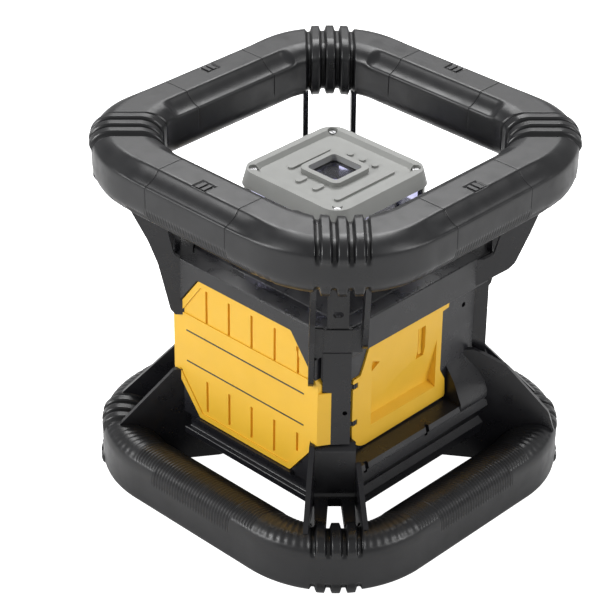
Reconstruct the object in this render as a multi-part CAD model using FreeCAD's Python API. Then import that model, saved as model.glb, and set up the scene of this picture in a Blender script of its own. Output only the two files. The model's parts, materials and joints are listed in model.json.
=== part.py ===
import FreeCAD, Part
import math
import os

Vec = FreeCAD.Vector

# ---------------------------------------------------------------------------
# Rotating laser level with a roll cage. Millimetres, +Z up, origin on the
# floor under the turret axis. Front cover faces -Y, battery door faces +X,
# keypad faces +Y, side tripod thread faces -X.
# ---------------------------------------------------------------------------

# Roll-cage rings
ring_half = 133.5            # centre line of the object to a ring's outer wall
ring_depth = 44.0            # ring section, outer wall to inner wall
ring_height = 38.0           # ring section, top to bottom
ring_corner_axis = 55.0      # x and y of the vertical axis of each ring corner
cage_top = 255.8             # top band of the upper ring
band_half_width = 10.25      # flat band on top of the upper ring
cove_drop = 8.0              # height of the hollow cove beside the band
cove_sag = 1.8               # depth of the cove's hollow
inner_round = 14.0           # rounding on the side of a ring that faces the body
lower_depth = 42.0           # lower ring's section, outer wall to inner wall
lower_inner_round = 30.0     # wide rounding of the lower ring's upper inner side
lower_outer_round = 12.0     # rounding of the lower ring's upper outer side
floor_round = 4.0            # rounding of the lower ring's two floor edges
core_margin = 9.0            # rubber thickness around the upper ring's plastic core
lower_core = (104.5, 124.5, 9.0, 27.0)   # lower core's inner and outer wall, bottom and top
mark_length = 15.0           # small recessed sight mark at the middle of each side
mark_depth = 1.2
notch_reach = 127.0          # notch on the body side of each lower ring corner
notch_half_width = 9.0

# Corner bumpers (rubber accordions)
bumper_half_width = 17.5
bumper_rib_pitch = 10.0
bumper_rib_width = 6.0
bumper_rib_height = 1.6
bumper_groove_depth = 1.6

# Corner brackets. Every outline is in a corner's diagonal plane: distance from the
# centre, height and rounding radius.
fin_offset = 16.5            # upper fin's middle plane to the corner's diagonal plane
fin_thickness = 3.4
foot_offset = 14.5           # lower fin's middle plane to the diagonal plane, at the body
foot_splay = 6.8             # degrees that each lower fin turns outwards towards the ring
foot_pivot = 100.0           # distance at which the lower fins have their body offset
post_half_width = 6.8
post_hole_z = 177.0
column_half_width = 9.0      # upright rib on each body corner, between the fins
column_reach = 103.2
upper_fin_front = [(141.5, 226, 0), (133.2, 206, 20), (120.8, 180, 40), (114.8, 163, 25), (107.2, 128, 4),
                   (104, 124, 1), (93.5, 124, 0), (93.5, 166, 0), (99, 166, 0), (104, 169.5, 7),
                   (107.3, 184, 20), (110, 205, 20), (112, 226, 0)]
upper_fin_side = [(141.5, 226, 0), (133, 204, 20), (126.9, 186, 30), (118.2, 163.4, 8), (114.1, 158.8, 6),
                  (97, 148, 0), (90, 144.5, 0), (90, 166, 0), (97.5, 166, 0), (104, 169.5, 6),
                  (107.7, 184, 20), (109.7, 205, 20), (112, 226, 0)]
post_outline = [(104, 160, 0), (104, 199, 1.5), (100.5, 199, 1.5), (100.5, 160, 0)]
foot_root = [(149, 20, 0), (114, 5, 0), (98, 6.5, 3), (72, 7.5, 8), (60, 30, 0)]
foot_plain = [(88, 79.5, 0), (106, 79.5, 3), (152.4, 28, 0)] + foot_root
foot_by_door = [(88, 65.3, 0), (104, 65.3, 3), (152.4, 28, 0)] + foot_root
foot_by_shelf = [(88, 94, 0), (95, 94.7, 0), (106, 89.4, 6), (118.5, 82.5, 8), (129, 70.1, 10),
                 (148, 48.2, 10), (152.4, 34, 0)] + foot_root

# Housing
body_half_x = 73.0
body_half_y = 78.0
body_chamfer = 9.0
wall = 3.0
housing_bottom = 46.0
housing_top = 157.0
belt_bottom = 144.0
belt_top = 167.0
belt_reach = 6.0             # belt stands this far out of the housing walls
belt_chamfer = 18.0
frame_half_width = 64.0      # front frame around the upper half of the front cover
frame_bottom = 124.0
skirt_plane = 81.5           # front skirt around the lower half of the front cover
rim_height = 5.5             # rim along the lower front edge of the base
ledge_plane = 85.0
ledge_bottom = 46.0
ledge_top = 48.4
base_bottom = 28.0
boss_radius = 31.0
boss_bottom = 2.0
clearance = 0.3

# Tripod threads (5/8 inch, 11 threads to the inch, plain at the minor radius)
thread_radius = 6.8
insert_radius = 13.0
insert_length = 20.0
side_thread_z = 101.0

# Front and left covers
cover_plane = 83.0
cover_top = 156.0
cover_bottom = 49.0
cover_side_top = 124.0
cover_side_bottom = 80.0
cover_half_top = 42.0
cover_half_side = 66.0
cover_grooves = [(-35.4, 56.0, 150.6), (-14.6, 55.6, 150.6), (6.2, 55.6, 150.6), (27.0, 55.6, 150.6),
                 (47.8, 66.0, 146.5)]         # x of each groove, its lower and upper end
cover_groove_width = 2.0
groove_depth = 3.0
cover_border = 4.0           # raised border around the cover's field
field_depth = 0.8
plain_band = (81.0, 126.0)   # heights of the plain middle band
cover_seam = 0.4             # gap between the front cover and the frame around it
tab_reach = 103.0            # distance of the cover's corner tabs from the centre
tab_end = 2.5                # tab's edge to the corner's diagonal plane
tab_bottom = 79.0
tab_top = 118.5

# Battery door, latch, bay and pack
door_plane = 74.0
door_back = 70.3
door_seam = 0.7              # gap between the door and the housing around it
door_outline = [(32.8, 67, 2), (31.8, 81, 2), (26.8, 90, 3), (26.8, 136, 1), (32.8, 136.6, 1),
                (32.8, 142.6, 1), (-44.2, 140.6, 3), (-48.2, 130, 4), (-51.7, 122, 2), (-58.8, 121.6, 1),
                (-58.8, 66, 14)]
hinge_y = -56.2
hinge_x = 73.0
hinge_barrel_radius = 1.9
hinge_pin_radius = 0.9
hinge_lug_heights = ((86.0, 90.0), (114.4, 118.4))
scoop_y = (-41.0, 22.0)
scoop_z = (79.0, 85.0, 116.0)    # lip, deepest line and top of the finger scoop
scoop_back = 68.0
pan_top = 103.5
latch_y = (6.6, 9.9)
latch_z = (110.0, 131.5)
bay_y = (-46.0, 26.0)
bay_z = (74.0, 139.0)
bay_back = 40.0
pack_front = 65.0

# Turret, cap and windows
turret_half = 45.0
turret_corner = 12.0
turret_base_z = 165.0
pane_bottom = 185.0
cap_bottom = 213.5
cap_leg_bottom = 207.7
cap_top = 224.7
cap_window_half = 13.0
cap_flare = 1.0              # the cap is wider at its lower edge
cap_field = 221.9            # recessed field inside the cap's rim
# x, near end and far end of each raised rib on the cap
cap_ribs = [(-23.0, -19.0, 19.0), (27.5, -29.0, 26.0), (-6.5, -29.0, -20.0), (8.5, -29.0, -20.0),
            (-8.0, 20.8, 25.4), (3.0, 20.8, 25.4), (14.0, 20.8, 25.4)]
cap_rib_half = 2.2
cap_rib_height = 1.3
cap_rim_width = 5.0
cap_screw_pocket = 3.4
pane_thickness = 2.4

# Levelling gimbal and rotor
pivot_z = 140.0
gimbal_inner = 23.0
gimbal_outer = 28.0
gimbal_half_height = 4.0
trunnion_radius = 2.0
running_gap = 0.03
chassis_radius = 15.0
chassis_bore = 11.0
chassis_bottom = 84.0
chassis_top = 183.0
bearing_outer = 20.0
hub_outer = 24.0
hub_bottom = 161.0
hub_top = 184.5
belt_plane_z = 164.0
belt_wire_radius = 1.0
hub_groove_radius = 22.4
motor_distance = 39.0
motor_radius = 7.5
motor_pulley_groove = 5.6
lever_pin_radius = 2.0
lever_z = 66.0               # height of the drive nuts on the levelling lever
screw_radius = 2.0

# Keypad
keypad_half_width = 33.0
keypad_bottom = 86.0
keypad_top = 142.0
button_radius = 6.5
button_travel_room = 1.6


# ------------------------------- helpers -----------------------------------
def box(x0, x1, y0, y1, z0, z1):
    """Axis-aligned block between two corners."""
    return Part.makeBox(x1 - x0, y1 - y0, z1 - z0, Vec(x0, y0, z0))


def rod(radius, start, axis, length):
    """Cylinder from a start point along an axis."""
    return Part.makeCylinder(radius, length, Vec(*start), Vec(*axis))


def tube(outer, inner, z0, z1, x=0.0, y=0.0):
    """Vertical tube."""
    length = z1 - z0
    return rod(outer, (x, y, z0), (0, 0, 1), length).cut(rod(inner, (x, y, z0), (0, 0, 1), length))


def rounded_wire(corners):
    """Closed wire through 3-D corners (point, radius), each corner rounded by an arc."""
    edges = []
    count = len(corners)
    ends = []
    for i in range(count):
        here, radius = corners[i]
        before = corners[i - 1][0]
        after = corners[(i + 1) % count][0]
        if radius <= 0:
            ends.append((here, None, here))
            continue
        back = (before - here).normalize()
        forth = (after - here).normalize()
        half = back.getAngle(forth) / 2.0
        run = radius / math.tan(half)
        middle = here + (back + forth).normalize() * (radius / math.sin(half) - radius)
        ends.append((here + back * run, middle, here + forth * run))
    for i in range(count):
        first, middle, last = ends[i]
        if middle is not None:
            edges.append(Part.Arc(first, middle, last).toShape())
        following = ends[(i + 1) % count][0]
        if (following - last).Length > 1e-6:
            edges.append(Part.LineSegment(last, following).toShape())
    return Part.Wire(edges)


def plan(corners, z0, z1):
    """Upright prism from plan corners (x, y, radius)."""
    wire = rounded_wire([(Vec(x, y, z0), r) for x, y, r in corners])
    return Part.Face(wire).extrude(Vec(0, 0, z1 - z0))


def side_plate(corners, y0, y1):
    """Plate parallel to the XZ plane from corners (x, z, radius)."""
    wire = rounded_wire([(Vec(x, y0, z), r) for x, z, r in corners])
    return Part.Face(wire).extrude(Vec(0, y1 - y0, 0))


def end_plate(corners, x0, x1):
    """Plate parallel to the YZ plane from corners (y, z, radius)."""
    wire = rounded_wire([(Vec(x0, y, z), r) for y, z, r in corners])
    return Part.Face(wire).extrude(Vec(x1 - x0, 0, 0))


def turned(shape, degrees):
    """Copy turned about the vertical axis through the origin."""
    copy = shape.copy()
    copy.rotate(Vec(0, 0, 0), Vec(0, 0, 1), degrees)
    return copy


def fused(shapes):
    """One shape from several that touch or overlap."""
    result = shapes[0]
    for shape in shapes[1:]:
        result = result.fuse(shape)
    return result.removeSplitter()


def octagon(half_x, half_y, chamfer, z0, z1):
    """Prism with four chamfered corners."""
    points = []
    for sx, sy in ((1, 1), (-1, 1), (-1, -1), (1, -1)):
        a = (sx * half_x, sy * (half_y - chamfer), 0)
        b = (sx * (half_x - chamfer), sy * half_y, 0)
        points += [a, b] if sx * sy > 0 else [b, a]
    return plan(points, z0, z1)


def rounded_square(half, radius, z0, z1):
    """Square prism with rounded corners."""
    return plan([(half, half, radius), (-half, half, radius), (-half, -half, radius),
                 (half, -half, radius)], z0, z1)


def tapered_square(low_half, high_half, radius, z0, z1):
    """Square block with rounded corners whose sides lean."""
    wires = []
    for half, z in ((low_half, z0), (high_half, z1)):
        wires.append(rounded_wire([(Vec(half, half, z), radius), (Vec(-half, half, z), radius),
                                   (Vec(-half, -half, z), radius), (Vec(half, -half, z), radius)]))
    return Part.makeLoft(wires, True, True)


corner_names = ("back_right", "back_left", "front_left", "front_right")
corner_angles = (45.0, 135.0, 225.0, 315.0)
front_sides = (1, -1, 1, -1)     # side of each corner's diagonal that faces along Y


# ----------------------------- cage rings ----------------------------------
def ring_wire(top, grow):
    """Ring section in the XZ plane, grown outwards by a margin."""
    return upper_wire(grow) if top else lower_wire(grow)


def upper_wire(grow):
    """Section of the upper ring: flat band on top, a cove on both sides of it."""
    outer = ring_half + grow
    inner = ring_half - ring_depth - grow
    middle = ring_half - ring_depth / 2.0
    radius = inner_round + grow
    high = cage_top + grow
    low = cage_top - ring_height - grow
    shoulder = high - cove_drop
    band = band_half_width + grow * 0.5
    cove_a = Vec(middle + band, 0, high)
    cove_b = Vec(outer, 0, shoulder)
    cove_c = Vec(inner, 0, shoulder)
    cove_d = Vec(middle - band, 0, high)
    out_mid = (cove_a + cove_b) * 0.5 - Vec(0.6, 0, 0.8) * cove_sag
    in_mid = (cove_c + cove_d) * 0.5 - Vec(-0.6, 0, 0.8) * cove_sag
    turn_z = low + radius
    edges = [Part.LineSegment(cove_d, cove_a), Part.Arc(cove_a, out_mid, cove_b),
             Part.LineSegment(cove_b, Vec(outer, 0, turn_z))]
    edges += round_pair(outer, inner, low, turn_z, radius)
    edges += [Part.LineSegment(Vec(inner, 0, turn_z), cove_c), Part.Arc(cove_c, in_mid, cove_d)]
    return Part.Wire(Part.__sortEdges__([edge.toShape() for edge in edges]))


def lower_wire(grow):
    """Section of the lower ring: flat floor side, rounded outer side, wide rounding inside."""
    outer = ring_half + grow
    inner = ring_half - lower_depth - grow
    high = ring_height + grow
    low = max(0.0, -grow)
    return rounded_wire([(Vec(inner, 0, low), floor_round), (Vec(outer, 0, low), floor_round),
                         (Vec(outer, 0, high), lower_outer_round + grow),
                         (Vec(inner, 0, high), lower_inner_round + grow)])


def round_pair(outer, inner, flat_z, turn_z, radius):
    """The two rounded lower corners of the upper ring and the flat between them."""
    lean = radius * (1.0 - math.sqrt(0.5))
    out_arc = Part.Arc(Vec(outer, 0, turn_z), Vec(outer - lean, 0, flat_z + lean),
                       Vec(outer - radius, 0, flat_z))
    flat = Part.LineSegment(Vec(outer - radius, 0, flat_z), Vec(inner + radius, 0, flat_z))
    in_arc = Part.Arc(Vec(inner + radius, 0, flat_z), Vec(inner + lean, 0, flat_z + lean),
                      Vec(inner, 0, turn_z))
    return [out_arc, flat, in_arc]


def corner_sweep(face):
    """Quarter turn of a ring section about the corner axis at +X +Y."""
    moved = face.copy()
    moved.translate(Vec(0, ring_corner_axis, 0))
    return moved.revolve(Vec(ring_corner_axis, ring_corner_axis, 0), Vec(0, 0, 1), 90)


def ring_solid(face):
    """Closed rounded-square ring of a section."""
    side = face.copy()
    side.translate(Vec(0, -ring_corner_axis, 0))
    side = side.extrude(Vec(0, 2 * ring_corner_axis, 0))
    quarter = fused([side, corner_sweep(face)])
    return fused([turned(quarter, 90 * i) for i in range(4)])


def slab(angle, half_width, centre=0.0):
    """Slab along a corner's diagonal, from inside the ring to outside it."""
    block = box(88.0, 170.0, centre - half_width, centre + half_width, -20.0, 290.0)
    return turned(block, angle)


def core_face(top):
    """Rounded section of the plastic core inside a ring."""
    inner, outer, low, high = lower_core
    if top:
        inner = ring_half - ring_depth + core_margin
        outer = ring_half - core_margin
        low = cage_top - ring_height + core_margin
        high = cage_top - core_margin
    corners = [(Vec(inner, 0, low), 4.0), (Vec(outer, 0, low), 4.0), (Vec(outer, 0, high), 4.0),
               (Vec(inner, 0, high), 4.0)]
    return Part.Face(rounded_wire(corners))


def ring_core(top):
    """Plastic core that runs round inside a ring."""
    core = ring_solid(core_face(top))
    return core if top else core.cut(corner_notches())


def corner_notches():
    """Spaces on the body side of the lower ring's corners, between the fins."""
    notch = box(88.0, notch_reach, -notch_half_width, notch_half_width, -20.0, 60.0)
    return fused([turned(notch, angle) for angle in corner_angles])


def ring_grip(top, core, envelope):
    """Rubber overmould of a ring, open at the four corner bumpers."""
    grip = envelope.cut(core)
    for angle in corner_angles:
        grip = grip.cut(slab(angle, bumper_half_width))
    if top:
        middle = ring_half - ring_depth / 2.0
        for i in range(4):
            mark = box(middle - 4.0, middle + band_half_width, -mark_length / 2, mark_length / 2,
                       cage_top - mark_depth, cage_top + 1.0)
            grip = grip.cut(turned(mark, 90 * i))
    return grip


def corner_bumpers(top, core):
    """Four rubber accordion bumpers, one at each ring corner."""
    groove = corner_sweep(Part.Face(ring_wire(top, -bumper_groove_depth)))
    crest = corner_sweep(Part.Face(ring_wire(top, bumper_rib_height)))
    strips = [groove.common(slab(45.0, bumper_half_width))]
    for k in (-1, 0, 1):
        strips.append(crest.common(slab(45.0, bumper_rib_width / 2.0, k * bumper_rib_pitch)))
    bumper = fused(strips).cut(core)
    if not top:
        bumper = bumper.cut(corner_notches())
    return Part.makeCompound([turned(bumper, 90 * i) for i in range(4)])


# --------------------------- corner brackets -------------------------------
def radial_plate(points, centre, thickness):
    """Plate in a corner's diagonal plane, from (distance, height) points, along +X."""
    wire = rounded_wire([(Vec(r, centre - thickness / 2.0, z), radius) for r, z, radius in points])
    return Part.Face(wire).extrude(Vec(0, thickness, 0))


def upper_bracket(index, keep_out):
    """Two fins, a collar, a corner column and a post, from the body corner up to the upper ring."""
    front = front_sides[index]
    fins = [radial_plate(upper_fin_front, front * fin_offset, fin_thickness),
            radial_plate(upper_fin_side, -front * fin_offset, fin_thickness)]
    reach = fin_offset - fin_thickness / 2.0
    collar = radial_plate([(88, 150, 0), (104.2, 150, 0), (104.2, 166, 0), (88, 166, 0)], 0.0,
                          2 * (reach + 0.8))
    column = radial_plate([(88, 79, 0), (column_reach, 79, 0), (column_reach, 148, 0), (104.9, 150, 0),
                           (104.9, 167, 1), (88, 167, 0)], 0.0, 2 * column_half_width)
    post = radial_plate(post_outline, 0.0, 2 * post_half_width)
    bracket = fused(fins + [collar, column, post])
    recess = rod(1.6, (100, -front * 5.5, 103), (1, 0, 0), 10)
    bracket = bracket.cut(recess)
    for side in (-1.0, 1.0):
        bracket = bracket.cut(rod(2.2, (95, side, post_hole_z), (1, 0, 0), 20))
    return turned(bracket, corner_angles[index]).cut(keep_out)


def lower_fin(outline, side):
    """One splayed fin of a lower bracket."""
    fin = radial_plate(outline, side * foot_offset, fin_thickness)
    fin.rotate(Vec(foot_pivot, side * foot_offset, 0), Vec(0, 0, 1), side * foot_splay)
    return fin


def lower_bracket(index, keep_out):
    """Two fins, a panel and an open foot, from the body corner down to the lower ring."""
    front = front_sides[index]
    special = {"back_right": foot_by_shelf, "front_right": foot_by_door}
    side_outline = special.get(corner_names[index], foot_plain)
    fins = [lower_fin(foot_plain, front), lower_fin(side_outline, -front)]
    panel_line = [(88, 78, 0), (99, 78, 0), (103.5, 74, 3), (103.5, 39, 3), (129, 33, 0), (129, 27, 0),
                  (103, 33, 0), (88, 33, 0)]
    panel = radial_plate(panel_line, 0.0, 2 * (foot_offset - fin_thickness / 2.0) + 0.8)
    gap = plan([(106.5, -4.2, 0), (130, -6.2, 0), (130, 6.2, 0), (106.5, 4.2, 0)], 20.0, 60.0)
    bracket = fused(fins + [panel.cut(gap)])
    bracket = turned(bracket, corner_angles[index]).cut(keep_out)
    if corner_names[index] == "front_right":
        bracket = bracket.cut(door_window(door_seam)).cut(door_swing())
    return bracket


def door_swing():
    """Space beside the hinge that the open battery door needs."""
    return plan([(72, -59.2, 0), (120, -68.6, 0), (120, -30, 0), (72, -30, 0)], foot_by_door[0][1], 90.0)


# ------------------------------- housing -----------------------------------
def body_envelope():
    """Outer volume of the belt, the housing and the base."""
    lower = octagon(body_half_x, body_half_y, body_chamfer, base_bottom, housing_top)
    return lower.fuse(belt_block())


def belt_block():
    """Outer volume of the belt."""
    return octagon(body_half_x + belt_reach, body_half_y + belt_reach, belt_chamfer, belt_bottom, belt_top)


def door_window(grow):
    """Space of the battery door, grown by a gap, right through the wall."""
    shift = [(y, z, radius) for y, z, radius in door_outline]
    face = end_plate(shift, body_half_x - wall - 1.0, door_plane + 2.0)
    return face.makeOffsetShape(grow, 0.01, join=2) if grow > 0 else face


def housing():
    """Main shell, open at the top and bottom, with its side openings."""
    outer = octagon(body_half_x, body_half_y, body_chamfer, housing_bottom, housing_top)
    inner = octagon(body_half_x - wall, body_half_y - wall, body_chamfer - 1.0, housing_bottom, housing_top)
    shell = outer.cut(inner).cut(door_window(door_seam))
    shell = shell.cut(box(-29, 29, 60, 90, keypad_bottom + 3.5, keypad_top - 5))
    shell = shell.cut(rod(insert_radius, (-90, 0, side_thread_z), (1, 0, 0), 30))
    shell = shell.cut(rod(1.8, (60, 49, 131), (1, 0, 0), 20))
    inner_face = body_half_y - wall
    keypad_ledge = box(-30, 30, inner_face - 3.0, inner_face, keypad_bottom, keypad_top)
    return shell.fuse(keypad_ledge).fuse(front_skirt()).removeSplitter()


def shell_belt():
    """Belt that ties the upper brackets together, with the front frame around the cover."""
    lower_inner = octagon(body_half_x, body_half_y, body_chamfer, belt_bottom, housing_top)
    upper_inner = octagon(body_half_x - 6.0, body_half_y - 6.0, body_chamfer, housing_top, belt_top)
    front = -body_half_y - belt_reach
    frame = box(-frame_half_width, frame_half_width, front, -body_half_y, frame_bottom, belt_bottom)
    belt = belt_block().cut(lower_inner).cut(upper_inner).fuse(frame)
    return belt.cut(cover_space(front - 1.0)).removeSplitter()


def front_skirt():
    """Front skirt around the lower half of the cover, with a ledge under it."""
    skirt = box(-frame_half_width, frame_half_width, -skirt_plane, -body_half_y, housing_bottom, tab_bottom)
    ledge = side_plate([(-46, ledge_bottom, 0.8), (46, ledge_bottom, 0.8), (44, ledge_top, 0.8),
                        (-44, ledge_top, 0.8)], -ledge_plane, -skirt_plane)
    return skirt.fuse(ledge).cut(cover_space(-ledge_plane - 1.0))


def cover_space(front):
    """Space of the front cover and its seam, from a front plane back to the wall."""
    outline = [(x * (1 + cover_seam / cover_half_side), z + (cover_seam if z > 100 else -cover_seam), radius)
               for x, z, radius in cover_outline()]
    return side_plate(outline, front, -body_half_y)


def top_deck():
    """Sloping shoulder that closes the housing around the turret."""
    low = octagon(body_half_x - 6.0, body_half_y - 6.0, body_chamfer, housing_top, turret_base_z)
    slope = []
    for half, z in ((body_half_x - 8.0, turret_base_z), (turret_half + 2.0, pane_bottom - 4.0)):
        slope.append(Part.makePolygon([Vec(half, half, z), Vec(-half, half, z), Vec(-half, -half, z),
                                       Vec(half, -half, z), Vec(half, half, z)]))
    shoulder = Part.makeLoft(slope, True, True)
    hollow = rounded_square(turret_half - 4.0, turret_corner - 4.0, housing_top + 4.0, pane_bottom)
    throat = rounded_square(turret_half - 4.0, turret_corner - 4.0, housing_top - 1.0, housing_top + 5.0)
    seat = rounded_square(turret_half, turret_corner, turret_base_z, pane_bottom)
    return low.fuse(shoulder).cut(hollow).cut(throat).cut(seat).removeSplitter()


def base_plate():
    """Floor of the housing with a skirt and the tripod boss."""
    outer = octagon(body_half_x, body_half_y, body_chamfer, base_bottom, housing_bottom)
    inner = octagon(body_half_x - wall, body_half_y - wall, body_chamfer - 1.0, base_bottom + 4.0,
                    housing_bottom)
    boss = rod(boss_radius, (0, 0, boss_bottom), (0, 0, 1), 36.0)
    boss = boss.cut(rod(insert_radius, (0, 0, boss_bottom - 1), (0, 0, 1), insert_length + 1))
    rim = box(-frame_half_width, frame_half_width, -skirt_plane, -body_half_y, base_bottom,
              base_bottom + rim_height)
    return fused([outer.cut(inner), boss, rim])


def threaded_insert(length):
    """Metal insert with a plain bore at the thread's minor radius, mouth at the origin, along +Z."""
    return tube(insert_radius, thread_radius, 0.0, length)


def bottom_insert():
    """Tripod insert in the base boss."""
    insert = threaded_insert(insert_length)
    insert.translate(Vec(0, 0, boss_bottom))
    return insert


def side_insert():
    """Tripod insert in the left side, for upright use."""
    insert = threaded_insert(insert_length)
    insert.rotate(Vec(0, 0, 0), Vec(0, 1, 0), 90)
    insert.translate(Vec(-cover_plane + 2.0, 0, side_thread_z))
    return insert


# -------------------------------- covers -----------------------------------
def cover_outline(inset=0.0):
    """Eight corners of the front cover, clockwise from the top left, moved inwards by an inset."""
    side = cover_half_side - inset
    top = cover_half_top - inset * 0.5
    return [(-top, cover_top - inset, 2), (top, cover_top - inset, 2),
            (side, cover_side_top - inset * 0.5, 2), (side, cover_side_bottom + inset * 0.5, 2),
            (top, cover_bottom + inset, 2), (-top, cover_bottom + inset, 2),
            (-side, cover_side_bottom + inset * 0.5, 2), (-side, cover_side_top - inset * 0.5, 2)]


def cover_tab(side):
    """Tab of the front cover that wraps round a body corner."""
    def corner_point(distance, offset):
        return side * (distance - offset) * math.sqrt(0.5), -(distance + offset) * math.sqrt(0.5), 0
    points = [(side * (cover_half_side - 6), -cover_plane, 0), (side * cover_half_side, -cover_plane, 0.8),
              corner_point(tab_reach, tab_end),
              corner_point(tab_reach - 6.0, tab_end), (side * (cover_half_side - 12), -body_half_y + 4.0, 0)]
    return plan(points if side > 0 else points[::-1], tab_bottom, tab_top)


def front_cover():
    """Octagonal cover with upright grooves, a plain middle band and two wrapped tabs."""
    panel = side_plate(cover_outline(), -cover_plane, -body_half_y)
    for side in (-1, 1):
        panel = panel.fuse(cover_tab(side))
    field = side_plate(cover_outline(cover_border), -cover_plane - 1.0, -cover_plane + field_depth)
    band_low, band_high = plain_band
    band = box(-cover_half_side, cover_half_side, -cover_plane - 2.0, -cover_plane + 2.0, band_low,
               band_high)
    panel = panel.cut(field.cut(band))
    half = cover_groove_width / 2.0
    for x, low, high in cover_grooves:
        for z0, z1 in ((low, band_low), (band_high, high)):
            corners = [(x - half, z0, 0.6), (x + half, z0, 0.6), (x + half, z1, 0.6), (x - half, z1, 0.6)]
            panel = panel.cut(side_plate(corners, -cover_plane - 1.0, -cover_plane + groove_depth))
    body = octagon(body_half_x, body_half_y, body_chamfer, base_bottom, housing_top)
    return panel.cut(body).removeSplitter()


def left_cover():
    """Plain octagonal cover of the left side, around the side tripod thread."""
    middle = (cover_top + cover_bottom) / 2.0
    outline = [(y * 0.82, middle - 4.0 + (z - middle) * 0.84, r) for y, z, r in cover_outline()]
    panel = end_plate(outline, -cover_plane + 5.0, -body_half_x)
    collar = rod(insert_radius + 6.0, (-cover_plane + 2.0, 0, side_thread_z), (1, 0, 0), 8.0)
    through = rod(insert_radius, (-100, 0, side_thread_z), (1, 0, 0), 40)
    return panel.fuse(collar).cut(through)


def keypad_panel():
    """Keypad bezel on the back, with a well for each button."""
    corners = [(-keypad_half_width, keypad_bottom, 8), (keypad_half_width, keypad_bottom, 8),
               (keypad_half_width, keypad_top, 8), (-keypad_half_width, keypad_top, 8)]
    panel = side_plate(corners, body_half_y, body_half_y + 4.0)
    for x, z in button_places():
        panel = panel.cut(rod(button_radius + clearance, (x, 70, z), (0, 1, 0), 20))
    lens_slot = side_plate([(-12, 110.5, 2), (12, 110.5, 2), (12, 115.5, 2), (-12, 115.5, 2)],
                           body_half_y - 1.0, body_half_y + 5.0)
    return panel.cut(lens_slot)


def indicator_lens():
    """Clear strip over the indicator lamps."""
    corners = [(-12, 110.5, 2), (12, 110.5, 2), (12, 115.5, 2), (-12, 115.5, 2)]
    return side_plate(corners, body_half_y + 1.0, body_half_y + 3.6)


def button_places():
    """Centres of the five buttons, left to right and top to bottom."""
    return [(-21.0, 128.0), (0.0, 128.0), (21.0, 128.0), (-12.0, 98.0), (12.0, 98.0)]


def button(x, z):
    """Round key with a domed cap and a plunger that stops short of the board bracket."""
    cap = rod(button_radius, (x, body_half_y + 1.2, z), (0, 1, 0), 4.2)
    cap = cap.makeFillet(1.0, [edge for edge in cap.Edges if edge.CenterOfMass.y > body_half_y + 5.0
                               and len(edge.Vertexes) == 1])
    stem_back = body_half_y - wall + button_travel_room
    return cap.fuse(rod(2.5, (x, stem_back, z), (0, 1, 0), body_half_y + 1.2 - stem_back))


# ------------------------------ battery side -------------------------------
def side_shelf():
    """Stepped shelf under and behind the battery door, between the lower brackets."""
    x0 = body_half_x
    face = [(x0 + 14.6, 59.5), (x0 + 13.0, 57.5), (x0 + 14.2, 51.0), (x0 + 9.5, 42.0), (x0 + 12.2, 37.0),
            (x0 + 11.0, 29.0), (x0, base_bottom)]
    low = [(x0, 65.0), (x0 + 13.6, 63.5)] + face
    high = [(x0, 90.0), (x0 + 7.5, 80.0), (x0 + 14.6, 65.0)] + face
    parts = []
    for profile, y0, y1 in ((low, -63.0, 34.0), (high, 34.0, 72.0)):
        wire = Part.makePolygon([Vec(x, y0, z) for x, z in profile + profile[:1]])
        parts.append(Part.Face(wire).extrude(Vec(0, y1 - y0, 0)))
    shelf = fused(parts)
    slot = Part.makeBox(1.6, 26.0, 4.0, Vec(0, 0, -2.0))
    slot.rotate(Vec(0, 0, 0), Vec(0, 1, 0), -37.0)
    slot.translate(Vec(x0 + 3.6, 38.0, 85.2))
    shelf = shelf.cut(slot)
    for y in (-58.0, 1.0, 62.5):
        shelf = shelf.cut(box(x0 + 11.5, x0 + 22, y - 1.5, y + 1.5, 56, 70))
    return shelf


def battery_bay():
    """Open box behind the battery door, with a flange against the wall and the fixed hinge knuckles."""
    outer = box(bay_back - 2.0, body_half_x - wall, bay_y[0] - 2.0, bay_y[1] + 2.0, bay_z[0] - 2.0,
                bay_z[1] + 2.0)
    flange = box(body_half_x - wall - 3.0, body_half_x - wall, bay_y[0] - 3.0, 38.0, 62.0, bay_z[1] + 7.0)
    inner = box(bay_back, body_half_x + 5.0, bay_y[0], bay_y[1], bay_z[0], bay_z[1])
    catch_room = box(body_half_x - wall - 2.2, body_half_x, bay_y[1] - 1.0, 31.0, 111.0, 129.0)
    return fused([outer, flange]).cut(inner).cut(catch_room).fuse(hinge_lugs()).removeSplitter()


def battery_pack():
    """Removable battery pack standing in the bay."""
    x0 = bay_back + 3.0
    y0 = bay_y[0] + 0.5
    y1 = bay_y[1] - 0.5
    corners = [(x0, y0, 3), (pack_front, y0, 3), (pack_front, y1, 3), (x0, y1, 3)]
    return plan(corners, bay_z[0], bay_z[1] - 6.0)


def battery_contacts():
    """Three blade contacts on the back wall of the bay."""
    blades = [box(bay_back, bay_back + 3.0, y - 0.4, y + 0.4, 90, 104) for y in (-22.0, -10.0, 2.0)]
    return Part.makeCompound(blades)


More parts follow.
